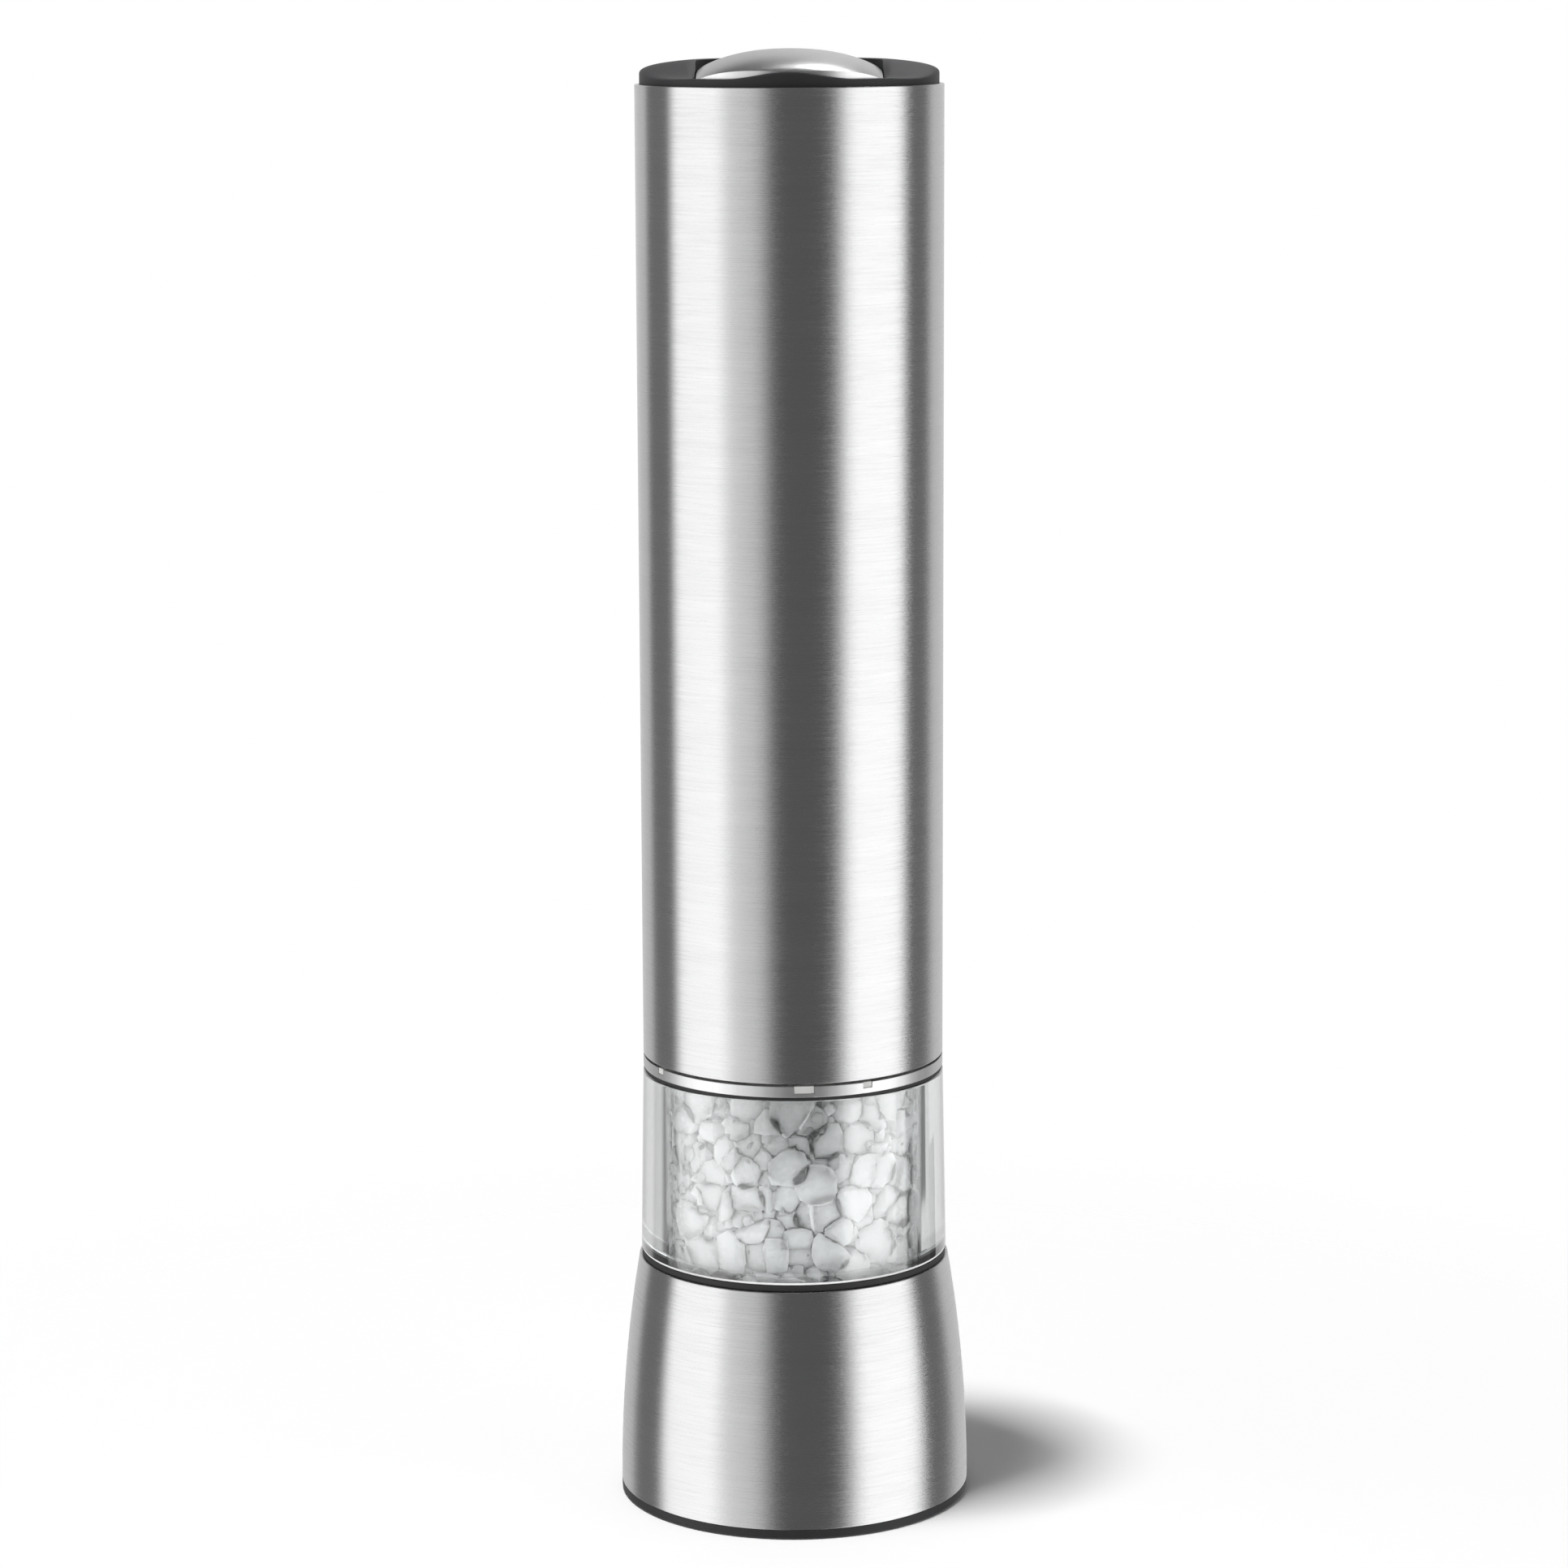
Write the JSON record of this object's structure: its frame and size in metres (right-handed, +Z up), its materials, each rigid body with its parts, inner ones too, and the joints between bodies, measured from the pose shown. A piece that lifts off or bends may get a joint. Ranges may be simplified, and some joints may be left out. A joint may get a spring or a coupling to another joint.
{
  "type": "electric salt mill",
  "caption": "Tall battery salt mill: brushed steel sleeve over a planetary gear motor, thumb button on top, clear hopper, ceramic burrs and grind adjuster in a flared steel base",
  "frame": {"origin": "on the table under the middle of the foot ring", "axes": "+Z up along the mill, front of the button towards -Y"},
  "size_m": [0.0522, 0.0522, 0.215],
  "materials": {
    "brushed_steel": "circumferential brushing",
    "bright_steel": "bright",
    "screw_steel": "zinc plated",
    "contact_metal": "plain",
    "bronze": "turned",
    "magnet_iron": "dark",
    "satin_button": "satin silver lacquer",
    "black_plastic": "fine satin",
    "black_rubber": "matt",
    "pale_plastic": "natural",
    "clear_plastic": "polished clear",
    "ceramic": "fired white ceramic",
    "battery_jacket": "plain jacket"
  },
  "bodies": {
    "base": {"foot_ring": "black_plastic", "base_shell": "brushed_steel", "base_core": "black_plastic", "seal_ring": "black_rubber", "hopper": "clear_plastic", "collar_seal": "black_rubber", "collar": "bright_steel", "burr_ring": "ceramic", "retainer_plate": "bright_steel", "retainer_screws": "screw_steel", "hopper_screws": "screw_steel"},
    "adjuster": {"adjuster_knob": "black_plastic"},
    "seat": {"burr_seat": "bright_steel"},
    "turning_burr": {"burr_cone": "ceramic"},
    "power_unit": {"motor_deck": "pale_plastic", "shaft_bush": "bronze", "gear_case": "black_plastic", "case_screws": "screw_steel", "motor_plate": "bright_steel", "motor_screws": "screw_steel", "motor_can": "bright_steel", "motor_magnets": "magnet_iron", "motor_end": "pale_plastic", "motor_terminals": "contact_metal", "battery_carrier": "black_plastic", "carrier_screws": "screw_steel", "carrier_top": "black_plastic", "top_screws": "screw_steel", "contact_springs": "screw_steel", "lower_contacts": "contact_metal", "upper_contacts": "contact_metal", "supply_strips": "contact_metal", "battery_1": "battery_jacket", "battery_2": "battery_jacket", "battery_3": "battery_jacket", "battery_4": "battery_jacket", "battery_5": "battery_jacket", "battery_6": "battery_jacket", "switch_body": "black_plastic"},
    "rotor": {"motor_shaft": "bright_steel", "armature": "magnet_iron", "first_sun": "bronze"},
    "first_stage": {"first_carrier": "black_plastic"},
    "output": {"second_carrier": "black_plastic", "drive_shaft": "bright_steel", "shaft_clip": "screw_steel", "burr_spring": "screw_steel"},
    "plunger": {"switch_plunger": "pale_plastic"},
    "cover": {"sleeve": "brushed_steel", "top_cap": "black_plastic", "button_spring": "screw_steel"},
    "button": {"push_button": "satin_button", "stem_clip": "screw_steel"},
    "first_planet_1": {"first_planet_1": "pale_plastic"},
    "first_planet_2": {"first_planet_2": "pale_plastic"},
    "first_planet_3": {"first_planet_3": "pale_plastic"},
    "second_planet_1": {"second_planet_1": "pale_plastic"},
    "second_planet_2": {"second_planet_2": "pale_plastic"},
    "second_planet_3": {"second_planet_3": "pale_plastic"}
  },
  "joints": [
    {"name": "unit_lift", "type": "slide", "parent": "base", "child": "power_unit", "axis": [0, 0, 1], "range_m": [0, 0.07]},
    {"name": "cover_lift", "type": "slide", "parent": "power_unit", "child": "cover", "axis": [0, 0, 1], "range_m": [0, 0.14]},
    {"name": "button_press", "type": "slide", "parent": "cover", "child": "button", "axis": [0, 0, -1], "range_m": [0, 0.0015], "stiffness_N_per_m": 800, "springref_m": -0.002, "deforming": ["button_spring"]},
    {"name": "plunger_press", "type": "slide", "parent": "power_unit", "child": "plunger", "axis": [0, 0, -1], "range_m": [0, 0.0015]},
    {"name": "adjuster_turn", "type": "hinge", "parent": "base", "child": "adjuster", "pos_m": [0, 0, 0.004], "axis": [0, 0, 1], "range_deg": [0, 270]},
    {"name": "burr_lift", "type": "slide", "parent": "base", "child": "seat", "axis": [0, 0, 1], "range_m": [0, 0.0008], "deforming": ["burr_spring"]},
    {"name": "motor_spin", "type": "hinge", "parent": "power_unit", "child": "rotor", "pos_m": [0, 0, 0.1], "axis": [0, 0, 1], "continuous": true},
    {"name": "first_stage_spin", "type": "hinge", "parent": "power_unit", "child": "first_stage", "pos_m": [0, 0, 0.08], "axis": [0, 0, 1], "continuous": true},
    {"name": "output_spin", "type": "hinge", "parent": "power_unit", "child": "output", "pos_m": [0, 0, 0.072], "axis": [0, 0, 1], "continuous": true},
    {"name": "burr_spin", "type": "hinge", "parent": "seat", "child": "turning_burr", "pos_m": [0, 0, 0.016], "axis": [0, 0, 1], "continuous": true},
    {"name": "first_planet_1_spin", "type": "hinge", "parent": "first_stage", "child": "first_planet_1", "pos_m": [0.00675, 0, 0.083], "axis": [0, 0, 1], "continuous": true},
    {"name": "first_planet_2_spin", "type": "hinge", "parent": "first_stage", "child": "first_planet_2", "pos_m": [-0.00337, 0.00585, 0.083], "axis": [0, 0, 1], "continuous": true},
    {"name": "first_planet_3_spin", "type": "hinge", "parent": "first_stage", "child": "first_planet_3", "pos_m": [-0.00337, -0.00585, 0.083], "axis": [0, 0, 1], "continuous": true},
    {"name": "second_planet_1_spin", "type": "hinge", "parent": "output", "child": "second_planet_1", "pos_m": [0.00675, 0, 0.075], "axis": [0, 0, 1], "continuous": true},
    {"name": "second_planet_2_spin", "type": "hinge", "parent": "output", "child": "second_planet_2", "pos_m": [-0.00337, 0.00585, 0.075], "axis": [0, 0, 1], "continuous": true},
    {"name": "second_planet_3_spin", "type": "hinge", "parent": "output", "child": "second_planet_3", "pos_m": [-0.00337, -0.00585, 0.075], "axis": [0, 0, 1], "continuous": true}
  ],
  "couplings": [
    {"joint": "plunger_press", "follows": "button_press", "ratio": 1},
    {"joint": "adjuster_turn", "follows": "burr_lift", "rad_per_m": 5890},
    {"joint": "first_stage_spin", "follows": "motor_spin", "ratio": 0.22222},
    {"joint": "output_spin", "follows": "motor_spin", "ratio": 0.049383},
    {"joint": "burr_spin", "follows": "motor_spin", "ratio": 0.049383},
    {"joint": "first_planet_1_spin", "follows": "motor_spin", "ratio": -0.62222},
    {"joint": "first_planet_2_spin", "follows": "motor_spin", "ratio": -0.62222},
    {"joint": "first_planet_3_spin", "follows": "motor_spin", "ratio": -0.62222},
    {"joint": "second_planet_1_spin", "follows": "motor_spin", "ratio": -0.13827},
    {"joint": "second_planet_2_spin", "follows": "motor_spin", "ratio": -0.13827},
    {"joint": "second_planet_3_spin", "follows": "motor_spin", "ratio": -0.13827}
  ]
}
